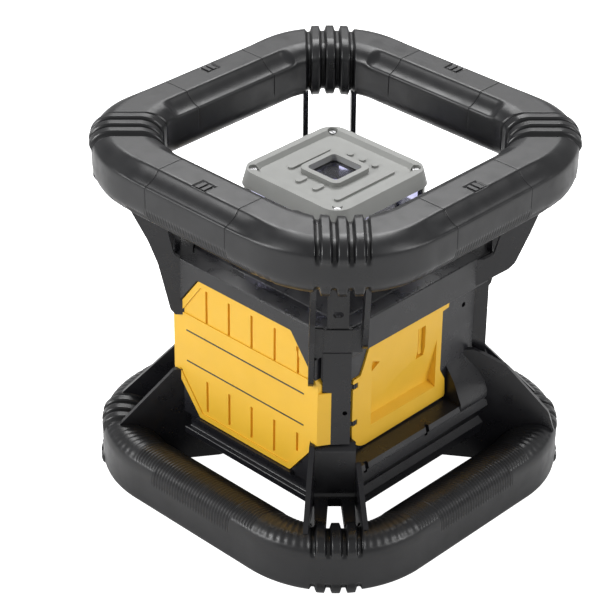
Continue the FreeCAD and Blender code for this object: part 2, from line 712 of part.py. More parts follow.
def battery_door():
    """Flush door with hinge knuckles, a latch slot, an arrow pocket and a finger scoop."""
    door = end_plate(door_outline, door_back, door_plane)
    arrow = Part.makePolygon([Vec(door_plane - 2.4, -41.5, 128.5), Vec(door_plane - 2.4, -41.5, 120.5),
                              Vec(door_plane - 2.4, -34.0, 124.8), Vec(door_plane - 2.4, -41.5, 128.5)])
    door = door.cut(Part.Face(arrow).extrude(Vec(5, 0, 0)))
    door = door.cut(box(door_back - 1, door_plane + 1, latch_y[0] - 3.6, latch_y[1] + 0.3, latch_z[0] - 1.0,
                        latch_z[1] + 1.0))
    for z0, z1 in hinge_lug_heights:
        door = door.cut(box(60, 90, -70, hinge_y + hinge_barrel_radius + clearance, z0, z1))
    lip, deep, high = scoop_z
    left, right = scoop_y
    pan = box(scoop_back - 1.5, door_back, left - 1.8, right + 1.8, lip - 1.8, pan_top)
    door = door.fuse(pan)
    hollow = Part.makePolygon([Vec(scoop_back, left, deep - 3.0), Vec(door_plane, left, lip),
                               Vec(door_plane + 1.0, left, lip), Vec(door_plane + 1.0, left, high),
                               Vec(door_plane, left, high), Vec(scoop_back, left, deep),
                               Vec(scoop_back, left, deep - 3.0)])
    door = door.cut(Part.Face(hollow).extrude(Vec(0, right - left, 0)))
    bore = rod(hinge_pin_radius + running_gap, (hinge_x, hinge_y, 70), (0, 0, 1), 60)
    return door.cut(bore).removeSplitter()


def hinge_lugs():
    """Two fixed hinge knuckles at the left edge of the battery opening."""
    lugs = []
    edge = door_outline[9][0] - door_seam
    for z0, z1 in hinge_lug_heights:
        z0 += clearance
        z1 -= clearance
        lug = rod(hinge_barrel_radius, (hinge_x, hinge_y, z0), (0, 0, 1), z1 - z0)
        foot = box(body_half_x - wall - 3.0, hinge_x, edge, hinge_y, z0, z1)
        arm = box(body_half_x - wall - 3.0, body_half_x - wall - 1.0, edge, bay_y[0] - 2.0, z0, z1)
        lug = lug.fuse(foot).fuse(arm).common(box(60, door_plane - 0.2, -70, -40, 70, 130))
        lugs.append(lug.cut(rod(hinge_pin_radius, (hinge_x, hinge_y, 70), (0, 0, 1), 60)))
    return fused(lugs)


def hinge_pin():
    """Steel pin of the battery door."""
    return rod(hinge_pin_radius, (hinge_x, hinge_y, 83.0), (0, 0, 1), 36.0)


def battery_latch():
    """Sliding catch in the door's upright slot, with a tongue behind the wall."""
    back = door_back - 0.1
    thumb = box(back, door_plane - 2.7, latch_y[0], latch_y[1], latch_z[0], latch_z[1])
    plate = box(back - 1.6, back, 2.6, 14.0, 105.0, 134.0)
    tongue = box(back - 1.6, back - 0.3, 14.0, 29.4, 113.0, 127.0)
    return fused([thumb, plate, tongue])


# --------------------------------- turret ----------------------------------
def turret_frame():
    """Square seat with four posts that carry the cap."""
    base = rounded_square(turret_half, turret_corner, turret_base_z, pane_bottom)
    base = base.cut(rounded_square(turret_half - 5.0, turret_corner - 5.0, turret_base_z, pane_bottom))
    return base.fuse(corner_posts(pane_bottom, cap_leg_bottom)).removeSplitter()


def corner_posts(z0, z1):
    """Four hollow corner posts of the turret between two heights."""
    post = rounded_square(turret_half, turret_corner, z0, z1)
    post = post.cut(rounded_square(turret_half - 5.0, turret_corner - 5.0, z0, z1))
    reach = turret_half - 9.0
    return post.cut(box(-60, 60, -reach, reach, z0, z1)).cut(box(-reach, reach, -60, 60, z0, z1))


def window_panes():
    """Four flat glass panes between the posts."""
    reach = turret_half - 9.0
    y1 = turret_half - 1.2
    pane = box(-reach, reach, y1 - pane_thickness, y1, pane_bottom, cap_bottom)
    return Part.makeCompound([turned(pane, 90 * i) for i in range(4)])


def turret_cap():
    """Square cap with raised ribs, a framed window and a leg at each corner."""
    cap = tapered_square(turret_half + cap_flare, turret_half - 1.0, turret_corner, cap_bottom, cap_top)
    reach = turret_half - cap_rim_width
    field = tapered_square(reach - 3.5, reach, turret_corner - 4.0, cap_field, cap_top + 1.0)
    cap = cap.cut(field)
    cap = cap.cut(rounded_square(turret_half - 5.0, turret_corner - 5.0, cap_bottom, cap_top - 4.2))
    cap = cap.fuse(rounded_square(cap_window_half + 4.0, 5.0, cap_field - 1.0, cap_top + 0.3))
    for x, y0, y1 in cap_ribs:
        x0 = x - cap_rib_half
        x1 = x + cap_rib_half
        rib = [(px, py, cap_rib_half - 0.1) for px, py in ((x0, y0), (x1, y0), (x1, y1), (x0, y1))]
        cap = cap.fuse(plan(rib, cap_field - 1.0, cap_field + cap_rib_height))
    cap = cap.cut(rounded_square(cap_window_half, 3.0, cap_bottom, cap_top + 2.0))
    cap = cap.fuse(corner_posts(cap_leg_bottom, cap_bottom + 1.0))
    for x, y in cap_screw_places():
        cap = cap.cut(rod(cap_screw_pocket, (x, y, cap_top - 3.0), (0, 0, 1), 5.0))
        cap = cap.cut(rod(1.3, (x, y, cap_bottom), (0, 0, 1), 12.0))
    return cap.removeSplitter()


def cap_screw_places():
    """Cap screws near the four corners."""
    reach = turret_half - 8.0
    return [(sx * reach, sy * reach) for sx in (-1, 1) for sy in (-1, 1)]


def cap_screws():
    """Four small pan-head screws in the cap."""
    screws = []
    for x, y in cap_screw_places():
        head = rod(2.2, (x, y, cap_top - 3.0), (0, 0, 1), 1.4)
        head = head.cut(box(x - 1.6, x + 1.6, y - 0.3, y + 0.3, cap_top - 2.1, cap_top))
        screws.append(head.fuse(rod(1.25, (x, y, cap_bottom), (0, 0, 1), cap_top - 3.0 - cap_bottom)))
    return Part.makeCompound(screws)


def cap_window():
    """Glass plate over the upward plumb beam, under the cap's opening."""
    return rounded_square(cap_window_half + 4.0, 4.0, cap_top - 6.2, cap_top - 4.2)


def cap_gasket():
    """Sealing frame between the cap's plate and the up-beam glass."""
    frame = rounded_square(cap_window_half + 7.0, 5.0, cap_top - 7.4, cap_top - 6.2)
    return frame.cut(rounded_square(cap_window_half - 1.0, 3.0, cap_top - 8.0, cap_top - 6.0))


# --------------------------- levelling and rotor ---------------------------
def gimbal_mount():
    """Two hangers under the deck that carry the outer trunnions."""
    hangers = []
    for side in (-1, 1):
        x0, x1 = sorted((side * (gimbal_outer + 1.0), side * (gimbal_outer + 8.0)))
        block = box(x0, x1, -7, 7, pivot_z - 7, housing_top)
        near, far = sorted((side * (gimbal_outer + 8.0), side * (turret_half + 8.0)))
        block = block.fuse(box(near, far, -7, 7, housing_top - 6, housing_top))
        hangers.append(block.cut(rod(trunnion_radius + running_gap, (x0 - 1, 0, pivot_z), (1, 0, 0), 9)))
    return Part.makeCompound(hangers)


def gimbal_ring():
    """Outer gimbal ring with bores for the inner trunnions."""
    ring = tube(gimbal_outer, gimbal_inner, pivot_z - gimbal_half_height, pivot_z + gimbal_half_height)
    for y in (-40.0, 20.0):
        ring = ring.cut(rod(trunnion_radius + running_gap, (0, y, pivot_z), (0, 1, 0), 20))
    for x in (-40.0, 20.0):
        ring = ring.cut(rod(trunnion_radius, (x, 0, pivot_z), (1, 0, 0), 20))
    return ring


def outer_trunnions():
    """Two pins along X, fixed in the gimbal ring."""
    length = gimbal_outer + 7.0 - gimbal_inner
    pins = [rod(trunnion_radius, (x, 0, pivot_z), (1, 0, 0), length)
            for x in (-gimbal_outer - 7.0, gimbal_inner)]
    return Part.makeCompound(pins)


def level_chassis():
    """Inner chassis tube with the inner trunnions, the motor arm and the levelling pin."""
    body = tube(chassis_radius, chassis_bore, chassis_bottom, chassis_top)
    collar = rod(chassis_radius + 5.0, (0, 0, pivot_z - 5), (0, 0, 1), 10).cut(
        rod(chassis_bore, (0, 0, pivot_z - 6), (0, 0, 1), 12))
    length = gimbal_outer - chassis_radius - 0.5
    pins = [rod(trunnion_radius, (0, side * chassis_radius, pivot_z), (0, side, 0), length)
            for side in (-1, 1)]
    plug = rod(chassis_radius, (0, 0, chassis_bottom - 4), (0, 0, 1), 4)
    stem = rod(lever_pin_radius, (0, 0, lever_z - 12), (0, 0, 1), chassis_bottom - 4 - lever_z + 12)
    arm = box(chassis_radius - 2.0, motor_distance, -5, 5, 149.0, 153.0)
    arm = turned(arm, 135).cut(rod(chassis_bore, (0, 0, 140), (0, 0, 1), 20))
    x, y = motor_place()
    seat = tube(motor_radius + 2.0, 3.0, 149.0, 153.0, x, y)
    arm = arm.cut(rod(3.0, (x, y, 140), (0, 0, 1), 20))
    return fused([body, collar, plug, stem, arm, seat] + pins)


def motor_place():
    """Plan position of the rotor's drive motor."""
    reach = motor_distance * math.sqrt(0.5)
    return -reach, reach


def laser_module():
    """Diode and lens barrel inside the chassis tube."""
    barrel = rod(chassis_bore, (0, 0, 96), (0, 0, 1), 46).cut(rod(5.0, (0, 0, 110), (0, 0, 1), 33))
    heat_sink = tube(chassis_bore, 4.5, 86, 96)
    return barrel.fuse(heat_sink)


def rotor_bearings():
    """Two bearing rings around the chassis tube."""
    return Part.makeCompound([tube(bearing_outer, chassis_radius, z, z + 5.0) for z in (163.0, 176.0)])


def rotor_hub():
    """Spinning sleeve with the drive-belt groove."""
    sleeve = tube(hub_outer, bearing_outer + running_gap, hub_bottom, hub_top)
    groove = Part.makeTorus(hub_groove_radius + belt_wire_radius + 0.1, belt_wire_radius + 0.35,
                            Vec(0, 0, belt_plane_z))
    slot = tube(hub_outer + 1.0, hub_groove_radius, belt_plane_z - 1.3, belt_plane_z + 1.3)
    return sleeve.cut(groove).cut(slot)


def prism_holder():
    """Rotating head that carries the prism, with its two beam openings."""
    z0 = hub_top
    disc = rod(hub_outer, (0, 0, z0), (0, 0, 1), 2.0).cut(rod(6.0, (0, 0, z0 - 1), (0, 0, 1), 4))
    drum = rod(19.0, (0, 0, z0 + 2), (0, 0, 1), 20.5)
    cavity = box(-9.0, 20.0, -9.0, 9.0, z0 + 2, z0 + 19.0)
    top_hole = rod(5.0, (0, 0, z0 + 18), (0, 0, 1), 6)
    flats = fused([box(-20, 20, 12.5, 20, z0 + 2, z0 + 23), box(-20, 20, -20, -12.5, z0 + 2, z0 + 23)])
    return disc.fuse(drum.cut(cavity).cut(top_hole).cut(flats))


def pentaprism():
    """Five-sided glass prism that turns the beam through a right angle."""
    z0 = hub_top + 2.0
    profile = [(-9.0, 0.0), (6.0, 0.0), (6.0, 14.0), (-3.0, 17.0), (-9.0, 8.0)]
    wire = Part.makePolygon([Vec(x, -8.5, z0 + z) for x, z in profile] + [Vec(-9.0, -8.5, z0)])
    return Part.Face(wire).extrude(Vec(0, 17.0, 0))


def drive_motor():
    """Rotor drive motor hanging under the chassis arm."""
    x, y = motor_place()
    can = rod(motor_radius, (x, y, 125.0), (0, 0, 1), 24.0)
    return can.fuse(rod(3.0, (x, y, 149.0), (0, 0, 1), 5.0))


def motor_pulley():
    """Small grooved pulley and its spindle above the motor."""
    x, y = motor_place()
    wheel = rod(motor_pulley_groove + 1.6, (x, y, belt_plane_z - 3), (0, 0, 1), 6)
    slot = tube(motor_pulley_groove + 3, motor_pulley_groove, belt_plane_z - 1.3, belt_plane_z + 1.3, x, y)
    spindle = rod(1.5, (x, y, 154.0 + clearance), (0, 0, 1), belt_plane_z - 157.0)
    return wheel.cut(slot).fuse(spindle)


def drive_belt():
    """Round elastic belt around the hub and the motor pulley."""
    big = hub_groove_radius + 0.15 + belt_wire_radius
    small = motor_pulley_groove + 0.15 + belt_wire_radius
    lean = math.asin((big - small) / motor_distance)
    far = Vec(motor_distance, 0, 0)
    up = Vec(math.sin(lean), math.cos(lean), 0)
    down = Vec(math.sin(lean), -math.cos(lean), 0)
    start = Vec(0, 0, 0)
    edges = [Part.Arc(start + up * big, start + Vec(-big, 0, 0), start + down * big).toShape(),
             Part.LineSegment(start + down * big, far + down * small).toShape(),
             Part.Arc(far + down * small, far + Vec(small, 0, 0), far + up * small).toShape(),
             Part.LineSegment(far + up * small, start + up * big).toShape()]
    tangent = edges[0].tangentAt(edges[0].FirstParameter)
    section = Part.Wire(Part.makeCircle(belt_wire_radius, edges[0].Vertexes[0].Point, tangent))
    belt = Part.Wire(edges).makePipeShell([section], True, True)
    belt.translate(Vec(0, 0, belt_plane_z))
    return turned(belt, 135)


def level_nut(along_x):
    """Nut block of a levelling drive, with a slot that the chassis pin runs in."""
    z0 = lever_z - 5.0 if along_x else lever_z + 1.0
    slot_half = 9.5
    pin = lever_pin_radius + clearance
    block = box(-6, 6, -11, 24, z0, z0 + 4.0).cut(box(-pin, pin, -slot_half, slot_half, z0 - 1, z0 + 5))
    tower = box(-5, 5, 17, 24, z0 - 1, z0 + 9.0)
    nut = block.fuse(tower).cut(rod(screw_radius + clearance, (-10, 20.5, z0 + 4.5), (1, 0, 0), 20))
    return nut if along_x else turned(nut, 90)


def level_screw(along_x):
    """Lead screw of a levelling drive."""
    z = lever_z - 0.5 if along_x else lever_z + 5.5
    screw = rod(screw_radius, (-16, 20.5, z), (1, 0, 0), 30)
    return screw if along_x else turned(screw, 90)


def level_motor(along_x):
    """Gearmotor that turns a levelling screw, on a foot from the base."""
    z = lever_z - 0.5 if along_x else lever_z + 5.5
    can = rod(6.5, (-34, 20.5, z), (1, 0, 0), 17.7)
    can = can.cut(rod(screw_radius + clearance, (-20, 20.5, z), (1, 0, 0), 10))
    foot = box(-32, -18, 15, 26, base_bottom + 4.0, z - 4.0)
    foot = foot.cut(rod(boss_radius, (0, 0, boss_bottom), (0, 0, 1), 36.0))
    motor = can.fuse(foot)
    return motor if along_x else turned(motor, 90)


def circuit_board():
    """Main board standing inside the left wall."""
    board = box(-64.0, -62.4, -45, 45, 52, 140)
    board = board.cut(rod(insert_radius + 4.0, (-80, 0, side_thread_z), (1, 0, 0), 30))
    chips = [box(-62.4, -59.5, 20, 34, 60, 74), box(-62.4, -58.0, -36, -24, 112, 130)]
    return fused([board] + chips)


# --------------------------------- output ----------------------------------
def build():
    """Every sub-part by node name."""
    upper_ring = ring_core(True)
    lower_ring = ring_core(False)
    upper_envelope = ring_solid(Part.Face(ring_wire(True, 0.0)))
    lower_envelope = ring_solid(Part.Face(ring_wire(False, 0.0)))
    upper_rubber = corner_bumpers(True, upper_ring)
    lower_rubber = corner_bumpers(False, lower_ring)
    front = front_cover()
    left = left_cover()
    shell = housing()
    belt = shell_belt()
    base = base_plate()
    lower_open = lower_envelope.cut(corner_notches())
    keep_out = fused([upper_envelope, lower_open]).fuse(body_envelope())
    keep_out = keep_out.fuse([upper_rubber, lower_rubber, front, left, shell, belt, base])
    nodes = {
        "upper_ring_core": upper_ring,
        "upper_ring_grip": ring_grip(True, upper_ring, upper_envelope),
        "upper_bumpers": upper_rubber,
        "lower_ring_core": lower_ring,
        "lower_ring_grip": ring_grip(False, lower_ring, lower_envelope),
        "lower_bumpers": lower_rubber,
        "shell_belt": belt,
        "housing": shell,
        "top_deck": top_deck(),
        "base_plate": base,
        "tripod_insert": bottom_insert(),
        "side_insert": side_insert(),
        "front_cover": front,
        "left_cover": left,
        "keypad_panel": keypad_panel(),
        "indicator_lens": indicator_lens(),
        "battery_bay": battery_bay(),
        "battery_pack": battery_pack(),
        "battery_contacts": battery_contacts(),
        "battery_door": battery_door(),
        "door_hinge_pin": hinge_pin(),
        "battery_latch": battery_latch(),
        "turret_frame": turret_frame(),
        "window_panes": window_panes(),
        "turret_cap": turret_cap(),
        "cap_screws": cap_screws(),
        "cap_window": cap_window(),
        "cap_gasket": cap_gasket(),
        "gimbal_mount": gimbal_mount(),
        "gimbal_ring": gimbal_ring(),
        "outer_trunnions": outer_trunnions(),
        "level_chassis": level_chassis(),
        "laser_module": laser_module(),
        "rotor_bearings": rotor_bearings(),
        "rotor_hub": rotor_hub(),
        "prism_holder": prism_holder(),
        "pentaprism": pentaprism(),
        "drive_motor": drive_motor(),
        "motor_pulley": motor_pulley(),
        "drive_belt": drive_belt(),
        "level_motors": Part.makeCompound([level_motor(True), level_motor(False)]),
        "circuit_board": circuit_board(),
    }
    for index, name in enumerate(corner_names):
        nodes["upper_bracket_" + name] = upper_bracket(index, keep_out)
        nodes["lower_bracket_" + name] = lower_bracket(index, keep_out)
    shelf = side_shelf()
    for name in ("back_right", "front_right"):
        shelf = shelf.cut(nodes["lower_bracket_" + name]).cut(nodes["upper_bracket_" + name])
    nodes["side_shelf"] = shelf
    for label, along_x in (("x", True), ("y", False)):
        nodes["level_nut_" + label] = level_nut(along_x)
        nodes["level_screw_" + label] = level_screw(along_x)
    for name, (x, z) in zip(("power", "speed", "scan", "slope", "lock"), button_places()):
        nodes["button_" + name] = button(x, z)
    return nodes


os.makedirs("parts", exist_ok=True)
for node_name, shape in build().items():
    shape.exportStep("parts/" + node_name + ".step")
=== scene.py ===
import json
import math

import bmesh
import bpy
import numpy as np
from mathutils import Matrix, Vector

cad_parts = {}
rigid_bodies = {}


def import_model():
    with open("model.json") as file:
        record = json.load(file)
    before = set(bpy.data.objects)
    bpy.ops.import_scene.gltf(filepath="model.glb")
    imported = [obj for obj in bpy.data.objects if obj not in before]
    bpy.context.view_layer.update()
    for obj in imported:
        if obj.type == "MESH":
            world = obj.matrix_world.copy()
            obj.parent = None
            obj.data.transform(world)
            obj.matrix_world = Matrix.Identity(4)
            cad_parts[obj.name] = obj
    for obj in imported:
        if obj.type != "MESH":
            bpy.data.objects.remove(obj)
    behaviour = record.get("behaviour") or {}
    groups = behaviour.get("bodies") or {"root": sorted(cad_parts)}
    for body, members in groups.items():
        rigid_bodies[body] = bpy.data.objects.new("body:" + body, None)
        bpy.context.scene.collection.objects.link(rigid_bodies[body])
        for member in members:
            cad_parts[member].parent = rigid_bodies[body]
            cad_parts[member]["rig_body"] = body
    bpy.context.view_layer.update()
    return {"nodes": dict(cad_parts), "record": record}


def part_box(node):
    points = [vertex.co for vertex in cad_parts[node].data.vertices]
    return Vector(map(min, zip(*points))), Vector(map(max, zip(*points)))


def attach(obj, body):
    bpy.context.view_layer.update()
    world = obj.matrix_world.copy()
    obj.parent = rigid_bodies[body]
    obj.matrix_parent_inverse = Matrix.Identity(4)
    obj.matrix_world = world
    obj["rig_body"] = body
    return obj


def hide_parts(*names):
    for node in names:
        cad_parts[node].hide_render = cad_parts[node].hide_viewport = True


# ---------------------------------------------------------------------------
# Looks of the rotating laser level. The object's lengths are millimetres here
# and turn into metres when a mesh is made; the studio's lengths are metres.
# ---------------------------------------------------------------------------
MM = 0.001

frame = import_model()

# Cage rings
CORNER_AXIS = 55.0           # x and y of the vertical axis of each ring corner
BAND_HALF = 10.25            # flat band on top of the upper ring
COVE_DROP = 8.0              # height of the shoulder beside the band
COVE_SAG = 1.7               # depth of the hollow in the shoulder
PLAIN_BULGE = 1.6            # outward curve of the shoulder where there is no hollow
WALL_ROUND = 14.0            # rounding on the lower side of the upper ring
LOWER_INNER_ROUND = 30.0     # wide rounding of the lower ring's upper inner side
LOWER_OUTER_ROUND = 12.0
FLOOR_ROUND = 4.0
UPPER_DEPTH = 44.0           # ring sections, outer wall to inner wall
LOWER_DEPTH = 42.0
COVE_FULL = (40.0, 50.0)     # how far from a side's middle the outer and inner coves are full
COVE_GONE = (72.0, 60.0)     # and how far out they have run out
TURN_RADIUS = 47.0           # of a turn's line on which distances along a ring are measured
PAST_TURN = 90.0             # distance from the side's middle given to every bumper station
GRIP_PITCH = 2.5             # fine grip ribs on the side that faces the body
GRIP_RELIEF = 0.4
PATCH_DEPTH = 0.8            # grip patches lie this much deeper than the ring's skin
PATCH_EDGE = (0.5, 0.7)      # half width of a patch's edge, along the side and round the section
# Grip patches of the lower and upper ring: half length along the side, reach over the outer
# and the inner side, measured from the ring's face that the other ring looks at
LOWER_PATCHES = ((36.0, 15.7, 29.0), (74.0, 5.0, 29.0))
UPPER_PATCHES = ((36.0, 13.0, 3.0), (62.0, 9.0, 2.0))
TURN_RELIEF = 0.45           # ribs are fainter where a ring turns
SEAM_PLACE = 35.0            # parting lines to each side of a side's middle
SEAM_DEPTH = 0.45
SEAM_WIDTH = 0.3
SEAM_FADE = 2.0              # the lines fade out over this height above the lower rounding
SEAM_STEPS = (-0.55, -0.25, 0.0, 0.25, 0.55)
MARK_HALF = 6.0              # sight mark recess at a side's middle, half its width
MARK_DEPTH = 1.0
MARK_REACH = (0.2, 9.8)      # inner and outer edge, measured from the ring's middle line
MARK_SLOPE = 0.8             # width of the recess's sloping edges across the band
MARK_EDGE = 0.15             # half width of its edges along the side
MARK_STEP = 0.2
BUMPER_HALF = 17.5
BUMPER_PITCH = 10.0
BUMPER_RELIEF = 1.6
BUMPER_GROOVE = 2.3          # groove depth as a multiple of the rib's height
BUMPER_GROOVE_EDGE = (-0.05, -0.8)
BUMPER_FADE = 2.2            # ribs run out over this width at a bumper's ends
# Plain band on a bumper's outer wall: where it starts and is full, measured down from the
# ring's top and up from its foot
UPPER_WALL = ((9.0, 13.5), (7.0, 10.0))
LOWER_WALL = ((6.0, 11.0), (5.0, 8.0))
TURN_STATIONS = 38
BUMPER_STATIONS = 57
BODY_RIDE = "instrument"

# Front cover stripes and the lens under the cap's window
STRIPE_RISE = (40.6, 64.6)   # heights above the cover's lower edge
STRIPE_HALF = 54.0
STRIPE_WIDTH = 1.1
STRIPE_PROUD = 0.12          # stands this far out of the cover, and goes this far into it
STRIPE_SUNK = 0.2
LENS_RADIUS = 10.5
LENS_RISE = 5.5
LENS_FOOT = -0.1             # lens is cut off here, as a share of its rise

# Dark bars in the sight marks: painted shade, black blocks that stand for the shadow in the mark recesses
BAR_PLACE = 2.2              # to each side of the mark's middle
BAR_HALF = 1.25
BAR_START = 1.2              # inner end, measured from the ring's middle line
BAR_LENGTH = 7.6
BAR_TOP = 0.08               # upper and lower face, measured down from the band
BAR_FOOT = 1.4

# Eased edges of the CAD shapes: bevel width of each, and the least angle that is eased
EASED = {
    "housing": 0.7, "base_plate": 1.2, "shell_belt": 1.1, "top_deck": 1.2, "side_shelf": 0.9,
    "front_cover": 0.7, "left_cover": 1.0, "battery_door": 0.6, "battery_latch": 0.3,
    "keypad_panel": 0.8, "turret_frame": 0.8, "turret_cap": 0.7, "window_panes": 0.2,
    "cap_window": 0.2, "cap_gasket": 0.2, "cap_screws": 0.15, "battery_bay": 0.4,
    "battery_pack": 1.0, "pentaprism": 0.25, "prism_holder": 0.4, "rotor_hub": 0.4,
    "tripod_insert": 0.5, "side_insert": 0.5,
}
UPPER_BRACKET_EASED = 0.7
LOWER_BRACKET_EASED = 0.8
BUTTON_EASED = 0.2
EASED_ANGLE = 28.0
FLAT_ANGLE = 0.8             # faces closer than this are one flat face

# Camera, from the front right and above; angles in degrees, lengths in metres
CAMERA_AZIMUTH = 43.7
CAMERA_ELEVATION = 31.55
CAMERA_ROLL = 0.69
CAMERA_LENS = 138.43
CAMERA_SENSOR = 36.0
CAMERA_TARGET = (0.0, 0.0, 0.110)
CAMERA_DISTANCE = 1.54818
CAMERA_SHIFT = (-0.02134, 0.0120)    # sideways and up, in the picture's plane

# Studio: lamp names, places, sizes and powers
LAMPS = (
    ("lamp_front", (-1.2, -2.2, 1.5), 1.1, 46.0),
    ("lamp_right", (2.2, 0.9, 1.7), 1.0, 24.0),
    ("lamp_top", (-1.0, 1.0, 1.9), 1.3, 33.0),
)
LAMP_TARGET = (0.0, 0.0, 0.12)
SKY_STRENGTH = 0.40
FLOOR_HALF = 30.0
FLOOR_LEVEL = -0.0001
FLOOR_GLOW = (0.15, 1.1)     # light that the floor gives the object, and gives the camera


# ------------------------------- helpers -----------------------------------
def slots_by_node():
    """Material slot of every CAD node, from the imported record."""
    return {part["node"]: part["material_slot"] for part in frame["record"]["subparts"]}


SLOTS = slots_by_node()


def smoothstep(low, high, value):
    """Smooth 0 to 1 ramp; runs the other way when low is above high."""
    share = np.clip((value - low) / (high - low), 0.0, 1.0)
    return share * share * (3.0 - 2.0 * share)


def add_piece(name, mesh, body, slot, material, *nodes):
    """Puts a mesh in the scene as a visible piece of the object."""
    piece = bpy.data.objects.new(name, mesh)
    bpy.context.scene.collection.objects.link(piece)
    mesh.materials.clear()
    mesh.materials.append(material)
    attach(piece, body)
    if nodes:
        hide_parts(*nodes)
    return piece


# ------------------------------ materials ----------------------------------
CLOUD_SCALE = 38.0           # mottling of the colour
SMEAR_SCALE = 95.0           # unevenness of the gloss
GRAIN_DEPTH = 0.0002         # metres
NOISE_SPAN = (0.3, 0.7)      # where nearly all of a noise's values lie
GLASS_INDEX = 1.46


def link_noise(tree, place, scale, detail):
    """Noise texture on object coordinates."""
    noise = tree.nodes.new("ShaderNodeTexNoise")
    noise.inputs["Scale"].default_value = scale
    noise.inputs["Detail"].default_value = detail
    tree.links.new(place.outputs["Object"], noise.inputs["Vector"])
    return noise


def link_range(tree, source, low, high):
    """Maps the middle of a noise's values to a range."""
    span = tree.nodes.new("ShaderNodeMapRange")
    span.inputs["From Min"].default_value = NOISE_SPAN[0]
    span.inputs["From Max"].default_value = NOISE_SPAN[1]
    span.inputs["To Min"].default_value = low
    span.inputs["To Max"].default_value = high
    tree.links.new(source, span.inputs["Value"])
    return span.outputs["Result"]


def link_mix(tree, share, first, second):
    """Mix of two colours by a share socket."""
    mix = tree.nodes.new("ShaderNodeMix")
    mix.data_type = "RGBA"
    mix.inputs["A"].default_value = (*first, 1.0)
    mix.inputs["B"].default_value = (*second, 1.0)
    tree.links.new(share, mix.inputs["Factor"])
    return mix.outputs["Result"]


def finish_of(name, colour, roughness, grain=1400.0, relief=0.12, mottle=0.12, gloss_spread=0.08,
              metallic=0.0):
    """Moulded or machined finish: mottled colour, uneven gloss and a fine grain."""
    material = bpy.data.materials.new(name)
    material.use_nodes = True
    tree = material.node_tree
    shader = tree.nodes["Principled BSDF"]
    shader.inputs["Metallic"].default_value = metallic
    place = tree.nodes.new("ShaderNodeTexCoord")
    clouds = link_noise(tree, place, CLOUD_SCALE, 5.0)
    dark = [value * (1.0 - mottle) for value in colour]
    light = [min(1.0, value * (1.0 + mottle)) for value in colour]
    tint = link_mix(tree, link_range(tree, clouds.outputs["Fac"], 0.0, 1.0), dark, light)
    tree.links.new(tint, shader.inputs["Base Color"])
    smears = link_noise(tree, place, SMEAR_SCALE, 6.0)
    gloss = link_range(tree, smears.outputs["Fac"], roughness - gloss_spread, roughness + gloss_spread)
    tree.links.new(gloss, shader.inputs["Roughness"])
    texture = link_noise(tree, place, grain, 2.0)
    bump = tree.nodes.new("ShaderNodeBump")
    bump.inputs["Strength"].default_value = relief
    bump.inputs["Distance"].default_value = GRAIN_DEPTH
    tree.links.new(texture.outputs["Fac"], bump.inputs["Height"])
    tree.links.new(bump.outputs["Normal"], shader.inputs["Normal"])
    return material


def glass_of(name, colour, roughness, transmission, tint=None, glow=0.0):
    """Glass with faint smears and, for the prism, a tinted gloss and a faint painted glow: emission that
    brightens it though it is no lamp.
    """
    material = finish_of(name, colour, roughness, 300.0, 0.01, 0.04, 0.015)
    shader = material.node_tree.nodes["Principled BSDF"]
    shader.inputs["Transmission Weight"].default_value = transmission
    shader.inputs["IOR"].default_value = GLASS_INDEX
    # painted glow: emission in the glass's own colour, light painted into a part that is no lamp
    shader.inputs["Emission Color"].default_value = (*colour, 1.0)
    shader.inputs["Emission Strength"].default_value = glow
    if tint:
        shader.inputs["Specular Tint"].default_value = (*tint, 1.0)
    return material


